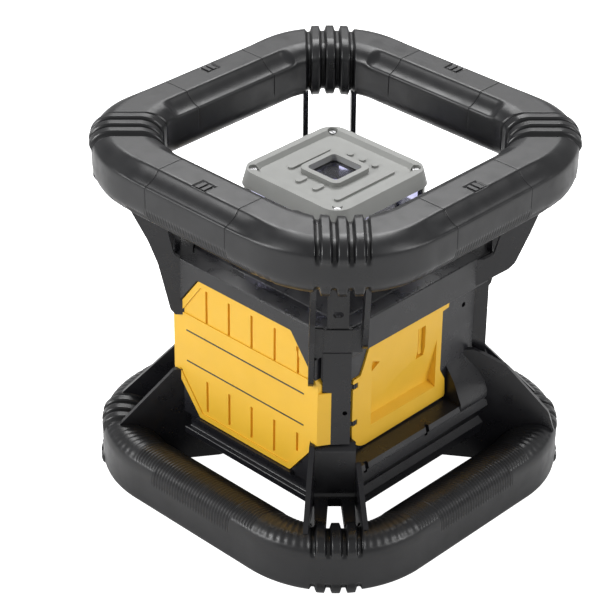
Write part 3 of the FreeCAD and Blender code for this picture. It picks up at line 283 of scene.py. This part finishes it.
FINISH = {
    "grip_rubber": finish_of("rubber_grip", (0.012, 0.0122, 0.0136), 0.37, 1100.0, 0.10, 0.2),
    "bumper_rubber": finish_of("rubber_bumper", (0.010, 0.0102, 0.0114), 0.33, 1100.0, 0.10, 0.2),
    "core_plastic": finish_of("core_black", (0.02, 0.02, 0.022), 0.45),
    "cage_plastic": finish_of("cage_black", (0.010, 0.010, 0.012), 0.30, 900.0, 0.03, 0.2, 0.06),
    "shell_plastic": finish_of("shell_black", (0.013, 0.013, 0.016), 0.30, 900.0, 0.03, 0.2, 0.07),
    "cover_yellow": finish_of("cover_amber", (0.86, 0.50, 0.034), 0.42, 1300.0, 0.05, 0.03, 0.06),
    "keypad_plastic": finish_of("keypad_grey", (0.05, 0.05, 0.055), 0.4),
    "button_rubber": finish_of("button_grey", (0.16, 0.16, 0.17), 0.55, 1500.0, 0.2),
    "lamp_lens": glass_of("lamp_clear", (0.75, 0.82, 0.78), 0.12, 0.6),
    "bay_plastic": finish_of("bay_black", (0.025, 0.025, 0.028), 0.45),
    "pack_plastic": finish_of("pack_black", (0.03, 0.03, 0.033), 0.5),
    "cap_grey": finish_of("cap_paint", (0.28, 0.284, 0.272), 0.42, 1600.0, 0.08, 0.05),
    "turret_plastic": finish_of("turret_black", (0.010, 0.010, 0.013), 0.2, 900.0, 0.02),
    "window_glass": glass_of("pane_glass", (0.80, 0.80, 0.98), 0.04, 1.0),
    # painted glow: the violet prism glass emits light so it stays bright inside the shaded turret
    "prism_glass": glass_of("prism_violet_painted_glow", (0.30, 0.24, 0.75), 0.06, 0.1, (0.7, 0.6, 1.0), 0.22),
    "seal_rubber": finish_of("seal_black", (0.02, 0.02, 0.02), 0.6),
    "black_steel": finish_of("steel_black", (0.02, 0.02, 0.02), 0.4, 700.0, 0.04, 0.1, 0.06, 0.6),
    "steel": finish_of("steel_turned", (0.55, 0.55, 0.56), 0.28, 700.0, 0.05, 0.05, 0.06, 1.0),
    "brass": finish_of("brass_turned", (0.72, 0.52, 0.22), 0.3, 700.0, 0.05, 0.05, 0.06, 1.0),
    "aluminium": finish_of("alloy_machined", (0.62, 0.63, 0.64), 0.35, 700.0, 0.05, 0.05, 0.06, 1.0),
    "rotor_plastic": finish_of("rotor_black", (0.03, 0.03, 0.03), 0.4),
    "motor_steel": finish_of("motor_can", (0.5, 0.5, 0.52), 0.3, 700.0, 0.04, 0.05, 0.05, 1.0),
    "board_green": finish_of("board_mask", (0.02, 0.16, 0.06), 0.35),
}


# ------------------------------ cage rings ---------------------------------
def arc(centre, radius, start, end, count):
    """Points on a section arc, angles in degrees, without the last one."""
    angles = np.radians(np.linspace(start, end, count, endpoint=False))
    return np.stack([centre[0] + radius * np.cos(angles), centre[1] + radius * np.sin(angles)], 1)


def run(first, last, count):
    """Points on a straight run of a section, without the last one."""
    share = np.linspace(0.0, 1.0, count, endpoint=False)[:, None]
    return np.array(first) * (1.0 - share) + np.array(last) * share


def shoulder(first, last, hollow, count):
    """A ring's upper shoulder between band and wall: hollow cove or slightly full slope."""
    share = np.linspace(0.0, 1.0, count, endpoint=False)
    first = np.array(first)
    last = np.array(last)
    line = first * (1.0 - share[:, None]) + last * share[:, None]
    along = (last - first) / np.linalg.norm(last - first)
    across = np.array([-along[1], along[0]])
    if hollow:
        return line - across * (COVE_SAG * np.sin(share * math.pi) ** 0.8)[:, None]
    return line + across * (PLAIN_BULGE * np.sin(share * math.pi))[:, None]


def upper_section(low, high, inner, outer, hollow):
    """Closed section of the upper ring as (offset from the centre, height)."""
    middle = (inner + outer) / 2.0
    turn = low + WALL_ROUND
    edge = high - COVE_DROP
    return np.concatenate([
        run((middle - BAND_HALF, high), (middle + BAND_HALF, high), 24),
        shoulder((middle + BAND_HALF, high), (outer, edge), hollow, 18),
        run((outer, edge), (outer, turn), 10),
        arc((outer - WALL_ROUND, turn), WALL_ROUND, 0, -90, 16),
        run((outer - WALL_ROUND, low), (inner + WALL_ROUND, low), 10),
        arc((inner + WALL_ROUND, turn), WALL_ROUND, -90, -180, 16),
        run((inner, turn), (inner, edge), 8),
        shoulder((inner, edge), (middle - BAND_HALF, high), hollow, 18)])


def lower_section(low, high, inner, outer):
    """Closed section of the lower ring."""
    corner = outer - LOWER_OUTER_ROUND
    return np.concatenate([
        arc((corner, high - LOWER_OUTER_ROUND), LOWER_OUTER_ROUND, 90, 0, 18),
        run((outer, high - LOWER_OUTER_ROUND), (outer, low + FLOOR_ROUND), 24),
        arc((outer - FLOOR_ROUND, low + FLOOR_ROUND), FLOOR_ROUND, 0, -90, 7),
        run((outer - FLOOR_ROUND, low), (inner + FLOOR_ROUND, low), 8),
        arc((inner + FLOOR_ROUND, low + FLOOR_ROUND), FLOOR_ROUND, -90, -180, 5),
        run((inner, low + FLOOR_ROUND), (inner, high - LOWER_INNER_ROUND), 5),
        arc((inner + LOWER_INNER_ROUND, high - LOWER_INNER_ROUND), LOWER_INNER_ROUND, 180, 90, 34)])


def softened(section, passes):
    """Section with its sharp turns eased."""
    eased = section.copy()
    for _ in range(passes):
        eased = 0.25 * np.roll(eased, 1, 0) + 0.5 * eased + 0.25 * np.roll(eased, -1, 0)
    return eased


def section_normals(section):
    """Outward direction at each point of a clockwise section."""
    along = np.roll(section, -1, 0) - np.roll(section, 1, 0)
    normal = np.stack([-along[:, 1], along[:, 0]], 1)
    return normal / np.linalg.norm(normal, axis=1)[:, None]


def side_stations():
    """Places along one side of a ring, closer together at lines and marks."""
    places = list(np.arange(-CORNER_AXIS, CORNER_AXIS, GRIP_PITCH / 5.0))
    for centre in (-SEAM_PLACE, SEAM_PLACE):
        places += [centre + step for step in SEAM_STEPS]
    for edge in (-MARK_HALF, MARK_HALF):
        places += [edge - MARK_STEP, edge + MARK_STEP]
    return sorted(set(round(place, 3) for place in places))


def ring_columns():
    """Stations round one quarter of a ring: kind of station and its place."""
    shares = np.linspace(0.0, 1.0, TURN_STATIONS, endpoint=False)
    columns = [("side", place) for place in side_stations()]
    columns += [("turn_in", share) for share in shares]
    columns += [("bumper", place) for place in np.linspace(-BUMPER_HALF, BUMPER_HALF, BUMPER_STATIONS)]
    columns += [("turn_out", share) for share in shares[1:]]
    return columns


def bumper_points(place, distance, along, outward):
    """Plan points across a bumper, on a line parallel to the corner's diagonal."""
    diagonal = (along + outward) / math.sqrt(2.0)
    across = (along - outward) / math.sqrt(2.0)
    depth = np.sqrt(distance ** 2 - place ** 2)
    return diagonal[None, :] * depth[:, None] + across[None, :] * place


def turn_points(kind, place, distance, along, outward):
    """Plan points of a station between a side and a bumper; place is a share of the turn."""
    full_turn = math.pi / 4.0 - np.arcsin(BUMPER_HALF / distance)
    if kind == "turn_in":
        angle = place * full_turn
    else:
        angle = math.pi / 2.0 - (1.0 - place) * full_turn
    return (outward[None, :] * np.cos(angle)[:, None]
            + along[None, :] * np.sin(angle)[:, None]) * distance[:, None]


def place_column(kind, place, reach, height, along, outward):
    """Points of one station of a ring, for section offsets and heights."""
    if kind == "side":
        flat = along[None, :] * place + outward[None, :] * reach[:, None]
        return np.column_stack([flat, height])
    distance = reach - CORNER_AXIS
    axis = (along + outward) * CORNER_AXIS
    if kind == "bumper":
        flat = axis + bumper_points(place, distance, along, outward)
    else:
        flat = axis + turn_points(kind, place, distance, along, outward)
    return np.column_stack([flat, height])


def side_reach(kind, place):
    """Distance of a station from its side's middle, measured round the turn."""
    turn = math.pi / 4.0 - math.asin(BUMPER_HALF / TURN_RADIUS)
    if kind == "side":
        return abs(place)
    if kind == "turn_in":
        return CORNER_AXIS + place * turn * TURN_RADIUS
    if kind == "turn_out":
        return CORNER_AXIS + (1.0 - place) * turn * TURN_RADIUS
    return PAST_TURN


def grip_relief(patches, reach, drop, outer_half, along_side):
    """Fine ribs in shallow stepped patches; drop is the distance from the ring's facing side."""
    side_edge, round_edge = PATCH_EDGE
    depth = np.zeros_like(drop)
    for half, outer_reach, inner_reach in patches:
        limit = np.where(outer_half, outer_reach, inner_reach)
        patch = smoothstep(half + side_edge, half - side_edge, reach)
        patch = patch * smoothstep(round_edge, -round_edge, drop - limit)
        depth = np.maximum(depth, patch)
    strength = GRIP_RELIEF if reach < CORNER_AXIS else GRIP_RELIEF * TURN_RELIEF
    wave = strength * math.cos(2.0 * math.pi * along_side / GRIP_PITCH)
    return depth * (wave - PATCH_DEPTH + GRIP_RELIEF)


def bumper_relief(place, section, top_ring, low, high, middle):
    """Accordion ribs of a corner bumper, left out on the plain outer wall band."""
    groove = float(smoothstep(*BUMPER_GROOVE_EDGE, math.cos(2.0 * math.pi * place / BUMPER_PITCH)))
    wave = 1.0 - BUMPER_GROOVE * groove
    fade = float(smoothstep(BUMPER_HALF, BUMPER_HALF - BUMPER_FADE, abs(place)))
    from_top, from_foot = UPPER_WALL if top_ring else LOWER_WALL
    heights = section[:, 1]
    wall = (smoothstep(high - from_top[0], high - from_top[1], heights)
            * smoothstep(low + from_foot[0], low + from_foot[1], heights))
    keep = np.where(section[:, 0] > middle, 1.0 - wall, 1.0)
    return BUMPER_RELIEF * wave * fade * keep


def mark_relief(place, section, middle, top):
    """Sight mark: a small recess on the outer half of the band."""
    start = middle + MARK_REACH[0]
    end = middle + MARK_REACH[1]
    across = (smoothstep(start, start + MARK_SLOPE, section[:, 0])
              * smoothstep(end, end - MARK_SLOPE, section[:, 0]))
    inside = float(smoothstep(MARK_HALF + MARK_EDGE, MARK_HALF - MARK_EDGE, abs(place)))
    return -MARK_DEPTH * across * inside * (section[:, 1] > top - 1.0)


def seam_relief(reach, section, low):
    """Depth of the parting lines at a station, above the ring's lower rounding."""
    line = math.exp(-((reach - SEAM_PLACE) / SEAM_WIDTH) ** 2)
    turn = low + WALL_ROUND
    return SEAM_DEPTH * line * smoothstep(turn, turn + SEAM_FADE, section[:, 1])


def ring_skin(top_ring, node):
    """Points of a whole ring skin, station by station, and which stations are bumper."""
    low_corner, high_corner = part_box(node)
    low = low_corner.z / MM
    high = high_corner.z / MM
    outer = high_corner.x / MM
    inner = outer - (UPPER_DEPTH if top_ring else LOWER_DEPTH)
    middle = (inner + outer) / 2.0
    if top_ring:
        plain = softened(upper_section(low, high, inner, outer, False), 3)
        coved = softened(upper_section(low, high, inner, outer, True), 2)
    else:
        plain = softened(lower_section(low, high, inner, outer), 2)
        coved = plain
    points = []
    flags = []
    for quarter in range(4):
        angle = math.radians(90.0 * quarter - 90.0)
        outward = np.array([math.cos(angle), math.sin(angle)])
        along = np.array([-outward[1], outward[0]])
        for kind, place in ring_columns():
            reach = side_reach(kind, place)
            outer_share = float(smoothstep(COVE_GONE[0], COVE_FULL[0], reach))
            inner_share = float(smoothstep(COVE_GONE[1], COVE_FULL[1], reach))
            share = np.where(plain[:, 0] > middle, outer_share, inner_share)[:, None]
            section = plain * (1.0 - share) + coved * share
            normal = section_normals(section)
            relief = np.zeros(len(section))
            if kind == "bumper":
                relief += bumper_relief(place, section, top_ring, low, high, middle)
            else:
                signed = place if kind == "side" else reach
                drop = section[:, 1] - low if top_ring else high - section[:, 1]
                patches = UPPER_PATCHES if top_ring else LOWER_PATCHES
                relief += grip_relief(patches, reach, drop, section[:, 0] > middle, signed)
            if top_ring and kind == "side":
                relief -= seam_relief(reach, section, low)
                relief += mark_relief(place, section, middle, high)
            moved = section + normal * relief[:, None]
            moved[:, 1] = np.maximum(moved[:, 1], low)
            points.append(place_column(kind, place, moved[:, 0], moved[:, 1], along, outward))
            flags.append(kind == "bumper")
    return np.array(points), np.array(flags)


def skin_mesh(name, points, keep):
    """Mesh of the strips between neighbouring stations that keep says to use."""
    stations, count = points.shape[:2]
    used = sorted(set(keep) | set((i + 1) % stations for i in keep))
    index = {station: row for row, station in enumerate(used)}
    verts = points[used].reshape(-1, 3) * MM
    faces = []
    for i in keep:
        a = index[i] * count
        b = index[(i + 1) % stations] * count
        for j in range(count):
            k = (j + 1) % count
            faces.append((a + j, b + j, b + k, a + k))
    mesh = bpy.data.meshes.new(name)
    mesh.from_pydata(verts.tolist(), [], faces)
    mesh.shade_smooth()
    return mesh


def build_ring(label, top_ring):
    """Grip and bumper skins of one ring."""
    points, flags = ring_skin(top_ring, label + "_ring_grip")
    stations = len(points)
    in_bumper = [i for i in range(stations) if flags[i] and flags[(i + 1) % stations]]
    in_grip = sorted(set(range(stations)) - set(in_bumper))
    for part, keep, ending in (("grip", in_grip, "_ring_grip"), ("bumpers", in_bumper, "_bumpers")):
        node = label + ending
        name = label + "_" + part + "_skin"
        mesh = skin_mesh(name, points, keep)
        add_piece(name, mesh, BODY_RIDE, SLOTS[node], FINISH[SLOTS[node]], node)


# --------------------------- bevelled CAD shapes ---------------------------
def dressed(node, width, segments=3):
    """Skin over a CAD shape with eased edges, which stands for that node."""
    source = frame["nodes"][node]
    mesh = source.data.copy()
    mesh.name = node + "_skin"
    work = bmesh.new()
    work.from_mesh(mesh)
    bmesh.ops.remove_doubles(work, verts=work.verts, dist=1e-6)
    bmesh.ops.dissolve_limit(work, angle_limit=math.radians(FLAT_ANGLE), verts=work.verts,
                             edges=work.edges)
    work.to_mesh(mesh)
    work.free()
    if "custom_normal" in mesh.attributes:
        mesh.attributes.remove(mesh.attributes["custom_normal"])
    mesh.shade_smooth()
    mesh.set_sharp_from_angle(angle=math.radians(EASED_ANGLE))
    piece = add_piece(node + "_skin", mesh, source["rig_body"], SLOTS[node], FINISH[SLOTS[node]], node)
    bevel = piece.modifiers.new("eased_edges", "BEVEL")
    bevel.width = width * MM
    bevel.segments = segments
    bevel.limit_method = "ANGLE"
    bevel.angle_limit = math.radians(EASED_ANGLE)
    bevel.harden_normals = True
    bevel.use_clamp_overlap = True


# ------------------------------ studio -------------------------------------
def add_camera():
    """Camera at the three-quarter view from the front right, above."""
    azimuth = math.radians(CAMERA_AZIMUTH)
    elevation = math.radians(CAMERA_ELEVATION)
    roll = math.radians(CAMERA_ROLL)
    back = Vector((math.sin(azimuth) * math.cos(elevation), -math.cos(azimuth) * math.cos(elevation),
                   math.sin(elevation)))
    level = Vector((math.cos(azimuth), math.sin(azimuth), 0.0))
    upright = back.cross(level)
    right = level * math.cos(roll) + upright * math.sin(roll)
    up = upright * math.cos(roll) - level * math.sin(roll)
    data = bpy.data.cameras.new("camera")
    data.lens = CAMERA_LENS
    data.sensor_width = CAMERA_SENSOR
    camera = bpy.data.objects.new("camera", data)
    place = Vector(CAMERA_TARGET) + back * CAMERA_DISTANCE + right * CAMERA_SHIFT[0] + up * CAMERA_SHIFT[1]
    camera.matrix_world = Matrix.Translation(place) @ Matrix((right, up, back)).transposed().to_4x4()
    bpy.context.scene.collection.objects.link(camera)
    bpy.context.scene.camera = camera


def add_floor():
    """Plain pale floor, brighter to the camera than to the object."""
    mesh = bpy.data.meshes.new("floor")
    corners = [(-1.0, -1.0), (1.0, -1.0), (1.0, 1.0), (-1.0, 1.0)]
    verts = [(x * FLOOR_HALF, y * FLOOR_HALF, FLOOR_LEVEL) for x, y in corners]
    mesh.from_pydata(verts, [], [(0, 1, 2, 3)])
    floor = bpy.data.objects.new("floor", mesh)
    bpy.context.scene.collection.objects.link(floor)
    material = finish_of("floor_pale", (0.85, 0.85, 0.85), 0.85, 60.0, 0.01, 0.004)
    tree = material.node_tree
    shader = tree.nodes["Principled BSDF"]
    shader.inputs["Emission Color"].default_value = (1.0, 1.0, 1.0, 1.0)
    ray = tree.nodes.new("ShaderNodeLightPath")
    glow = tree.nodes.new("ShaderNodeMapRange")
    glow.inputs["To Min"].default_value = FLOOR_GLOW[0]
    glow.inputs["To Max"].default_value = FLOOR_GLOW[1]
    tree.links.new(ray.outputs["Is Camera Ray"], glow.inputs["Value"])
    tree.links.new(glow.outputs["Result"], shader.inputs["Emission Strength"])
    mesh.materials.append(material)


def add_lamp(name, place, size, power):
    """Soft area lamp aimed at the object's middle."""
    data = bpy.data.lights.new(name, "AREA")
    data.energy = power
    data.size = size
    lamp = bpy.data.objects.new(name, data)
    lamp.location = place
    aim = Vector(LAMP_TARGET) - Vector(place)
    lamp.rotation_euler = aim.to_track_quat("-Z", "Y").to_euler()
    bpy.context.scene.collection.objects.link(lamp)


def add_light():
    """White surroundings and three soft lamps."""
    world = bpy.data.worlds.new("studio")
    world.use_nodes = True
    back = world.node_tree.nodes["Background"]
    back.inputs["Color"].default_value = (1.0, 1.0, 1.0, 1.0)
    back.inputs["Strength"].default_value = SKY_STRENGTH
    bpy.context.scene.world = world
    bpy.context.scene.view_settings.view_transform = "Standard"
    for lamp in LAMPS:
        add_lamp(*lamp)


# ------------------------------ assembly -----------------------------------
def block_mesh(name, low, high):
    """Plain block between two corners in millimetres."""
    work = bmesh.new()
    bmesh.ops.create_cube(work, size=1.0)
    for vert in work.verts:
        for axis in range(3):
            vert.co[axis] = (low[axis] if vert.co[axis] < 0.0 else high[axis]) * MM
    mesh = bpy.data.meshes.new(name)
    work.to_mesh(mesh)
    work.free()
    return mesh


def cover_stripes():
    """Two thin dark stripes along the plain band of the front cover."""
    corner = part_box("front_cover")[0]
    face = corner.y / MM
    for name, rise in (("upper", STRIPE_RISE[1]), ("lower", STRIPE_RISE[0])):
        level = corner.z / MM + rise
        low = (-STRIPE_HALF, face - STRIPE_PROUD, level - STRIPE_WIDTH / 2.0)
        high = (STRIPE_HALF, face + STRIPE_SUNK, level + STRIPE_WIDTH / 2.0)
        mesh = block_mesh("stripe_" + name, low, high)
        add_piece("stripe_" + name, mesh, BODY_RIDE, "shell_plastic", FINISH["shell_plastic"])


def painted_shade_bars():
    """Painted shade: dark bars in the sight marks, two at the middle of each side of the upper ring,
    standing for the shadow in the recesses.
    """
    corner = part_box("upper_ring_grip")[1]
    top = corner.z / MM
    start = corner.x / MM - UPPER_DEPTH / 2.0 + BAR_START
    work = bmesh.new()
    for quarter in range(4):
        turn = Matrix.Rotation(math.radians(90.0 * quarter), 4, "Z")
        for place in (-BAR_PLACE, BAR_PLACE):
            made = bmesh.ops.create_cube(work, size=1.0)["verts"]
            for vert in made:
                vert.co.x = (start + (BAR_LENGTH if vert.co.x > 0.0 else 0.0)) * MM
                vert.co.y = (place + math.copysign(BAR_HALF, vert.co.y)) * MM
                vert.co.z = (top - (BAR_TOP if vert.co.z > 0.0 else BAR_FOOT)) * MM
            bmesh.ops.transform(work, matrix=turn, verts=made)
    mesh = bpy.data.meshes.new("painted_shade_bars")
    work.to_mesh(mesh)
    work.free()
    # painted shade: dark blocks put where the mark recesses fall into shadow
    add_piece("painted_shade_bars", mesh, BODY_RIDE, "core_plastic", FINISH["core_plastic"])


def beam_lens():
    """Violet lens on top of the prism holder, seen through the cap's window."""
    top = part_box("prism_holder")[1].z
    body = frame["nodes"]["prism_holder"]["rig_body"]
    work = bmesh.new()
    bmesh.ops.create_uvsphere(work, u_segments=48, v_segments=24, radius=1.0)
    for vert in work.verts:
        vert.co.x *= LENS_RADIUS * MM
        vert.co.y *= LENS_RADIUS * MM
        vert.co.z = top + max(vert.co.z, LENS_FOOT) * LENS_RISE * MM
    mesh = bpy.data.meshes.new("beam_lens")
    work.to_mesh(mesh)
    work.free()
    mesh.shade_smooth()
    # the prism glass on this lens carries a painted glow
    add_piece("beam_lens", mesh, body, "prism_glass", FINISH["prism_glass"])


def build_object():
    """Every visible piece of the laser level."""
    build_ring("upper", True)
    build_ring("lower", False)
    for name in ("back_right", "back_left", "front_left", "front_right"):
        dressed("upper_bracket_" + name, UPPER_BRACKET_EASED)
        dressed("lower_bracket_" + name, LOWER_BRACKET_EASED)
    for node, width in EASED.items():
        dressed(node, width)
    for name in ("power", "speed", "scan", "slope", "lock"):
        dressed("button_" + name, BUTTON_EASED, 2)
    cover_stripes()
    painted_shade_bars()
    beam_lens()
    for node, thing in frame["nodes"].items():
        if not thing.hide_render:
            thing.data.materials.clear()
            thing.data.materials.append(FINISH[SLOTS[node]])


build_object()
add_camera()
add_floor()
add_light()
